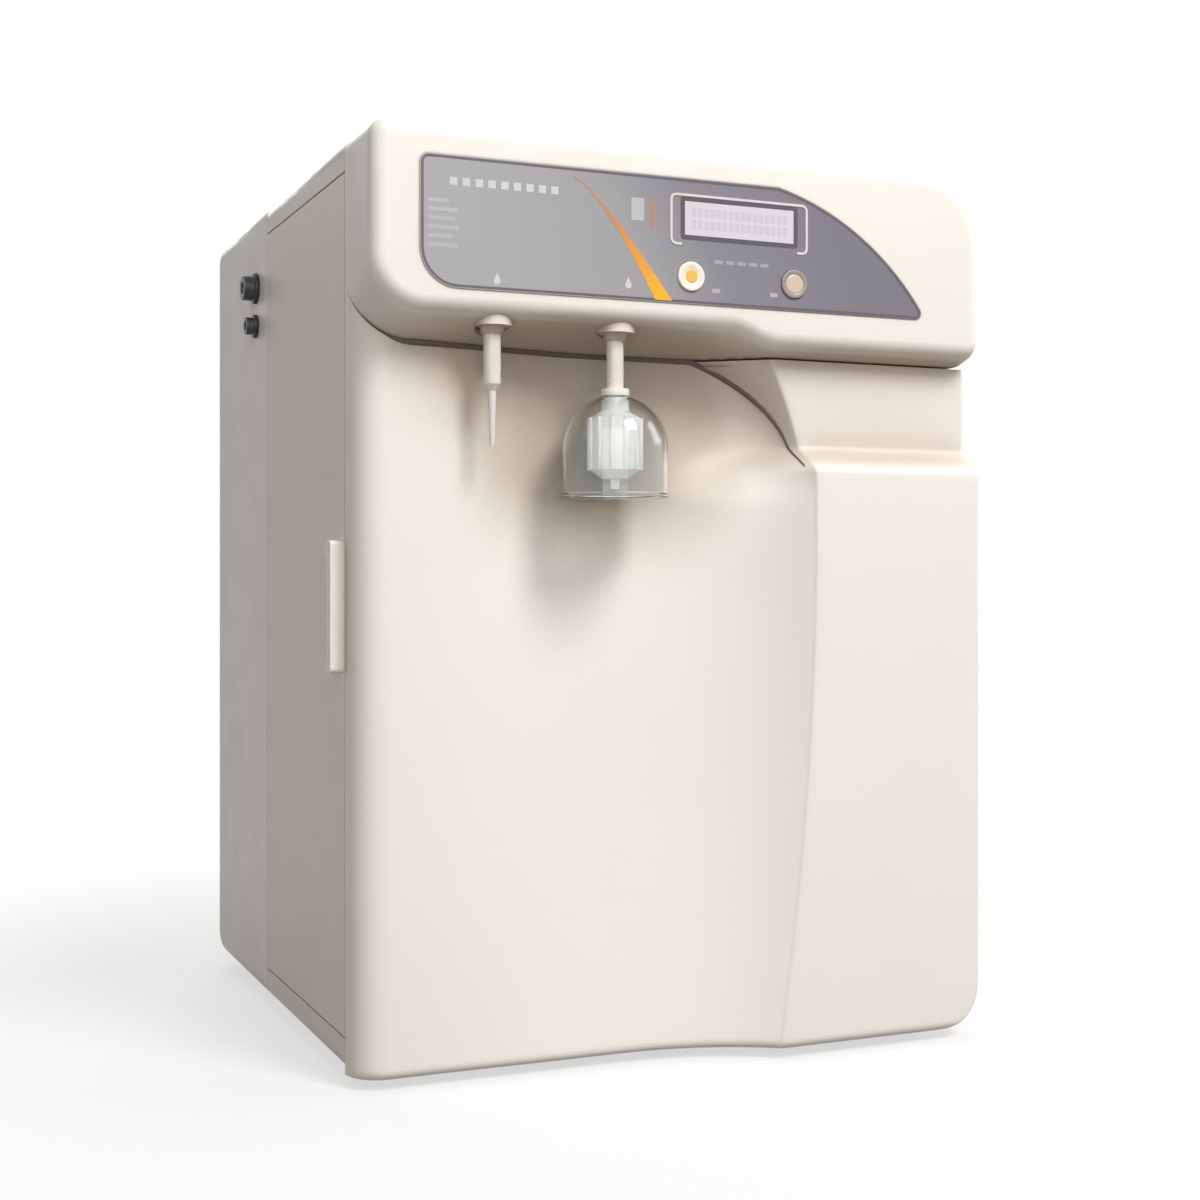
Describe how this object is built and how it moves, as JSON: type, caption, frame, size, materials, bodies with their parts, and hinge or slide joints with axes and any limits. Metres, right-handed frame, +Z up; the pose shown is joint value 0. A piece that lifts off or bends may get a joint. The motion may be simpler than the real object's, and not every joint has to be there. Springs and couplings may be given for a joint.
{
  "type": "ultrapure water system",
  "caption": "Bench-top ultrapure water cabinet with an overhanging head, a scooped bay, push buttons, a plain spout and a bell filter.",
  "frame": {"origin": "centre of the whole footprint on the bench, under the feet", "axes": "+Z up; -Y is the front, with the control field and the dispensing bay; +X is the right-hand side seen from the front"},
  "size_m": [0.405, 0.4498, 0.54],
  "materials": {
    "moulded_cover": "moulded, warm off-white",
    "painted_sheet": "fine textured paint, warm off-white",
    "feet_rubber": "matt",
    "hinge_steel": "plated",
    "magnet_block": "bonded magnet",
    "chassis_steel": "zinc plated",
    "overlay_film": "satin grey film",
    "light_trim": "printed line",
    "window_plastic": "tinted clear",
    "display_glass": "display glass and case",
    "circuit_board": "solder resist",
    "black_plastic": "moulded",
    "orange_plastic": "moulded",
    "pale_plastic": "moulded",
    "red_plastic": "moulded",
    "fitting_plastic": "natural white",
    "clear_plastic": "clear moulding",
    "guard_wire": "bright plated wire",
    "housing_plastic": "moulded",
    "membrane_wrap": "wound membrane",
    "polished_steel": "polished tube",
    "lamp_glass": "quartz sleeve",
    "pump_paint": "black paint",
    "valve_body": "machined",
    "tubing_plastic": "natural tube"
  },
  "bodies": {
    "cabinet": {"base_pan": "painted_sheet", "rubber_feet": "feet_rubber", "head_cover": "moulded_cover", "lower_cover": "moulded_cover", "wrap_cover": "painted_sheet", "rear_cover": "moulded_cover", "frame_hinge_leaves": "hinge_steel", "hinge_pins": "hinge_steel", "door_magnets": "magnet_block", "front_plate": "chassis_steel", "partition": "chassis_steel", "hinge_post": "chassis_steel", "control_field": "overlay_film", "display_frame": "light_trim", "display_window": "window_plastic", "display_module": "display_glass", "display_board": "circuit_board", "button_switches": "black_plastic", "plain_spout_fitting": "fitting_plastic", "plain_spout": "fitting_plastic", "product_spout_fitting": "fitting_plastic", "product_spout": "fitting_plastic", "feed_port": "black_plastic", "drain_port": "black_plastic", "port_nuts": "black_plastic", "tank_port": "black_plastic", "power_inlet": "black_plastic", "fan_frame": "black_plastic", "fan_guard": "guard_wire", "cartridge_rack": "chassis_steel", "cartridge_heads": "housing_plastic", "sediment_cartridge": "housing_plastic", "carbon_cartridge": "housing_plastic", "polishing_cartridges": "housing_plastic", "ro_housing": "housing_plastic", "ro_cap": "black_plastic", "ro_membrane": "membrane_wrap", "pipe_clips": "black_plastic", "uv_chamber": "polished_steel", "uv_lamp": "lamp_glass", "booster_pump": "pump_paint", "pump_mounts": "feet_rubber", "circulation_pump": "pump_paint", "feed_valve": "valve_body", "dispensing_valves": "valve_body", "power_supply": "chassis_steel", "control_board": "circuit_board", "board_spacers": "fitting_plastic", "inner_tubing": "tubing_plastic", "cover_screws": "hinge_steel"},
    "door": {"side_door": "painted_sheet", "door_pull": "moulded_cover", "door_hinge_leaves": "hinge_steel"},
    "left_button": {"left_button": "orange_plastic"},
    "right_button": {"right_button": "pale_plastic"},
    "power_switch": {"power_switch": "red_plastic"},
    "fuse_drawer": {"fuse_drawer": "black_plastic"},
    "fan_rotor": {"fan_rotor": "black_plastic"},
    "final_filter": {"filter_bell": "clear_plastic", "filter_capsule": "fitting_plastic"}
  },
  "joints": [
    {"name": "door_hinge", "type": "hinge", "parent": "cabinet", "child": "door", "pos_m": [-0.1875, 0.0384, 0], "axis": [0, 0, -1], "range_deg": [0, 100]},
    {"name": "left_button_press", "type": "slide", "parent": "cabinet", "child": "left_button", "axis": [0, 1, 0], "range_m": [0, 0.001], "stiffness_N_per_m": 1000, "springref_m": -0.0005},
    {"name": "right_button_press", "type": "slide", "parent": "cabinet", "child": "right_button", "axis": [0, 1, 0], "range_m": [0, 0.001], "stiffness_N_per_m": 1000, "springref_m": -0.0005},
    {"name": "power_rocker", "type": "hinge", "parent": "cabinet", "child": "power_switch", "pos_m": [0.1065, 0.2099, 0.081], "axis": [-1, 0, 0], "range_deg": [0, 16]},
    {"name": "fuse_drawer_slide", "type": "slide", "parent": "cabinet", "child": "fuse_drawer", "axis": [0, 1, 0], "range_m": [0, 0.022]},
    {"name": "fan_spin", "type": "hinge", "parent": "cabinet", "child": "fan_rotor", "pos_m": [0.1075, 0.1979, 0.42], "axis": [0, 1, 0], "continuous": true},
    {"name": "final_filter_pull", "type": "slide", "parent": "cabinet", "child": "final_filter", "axis": [0, 0, -1], "range_m": [0, 0.012]}
  ]
}
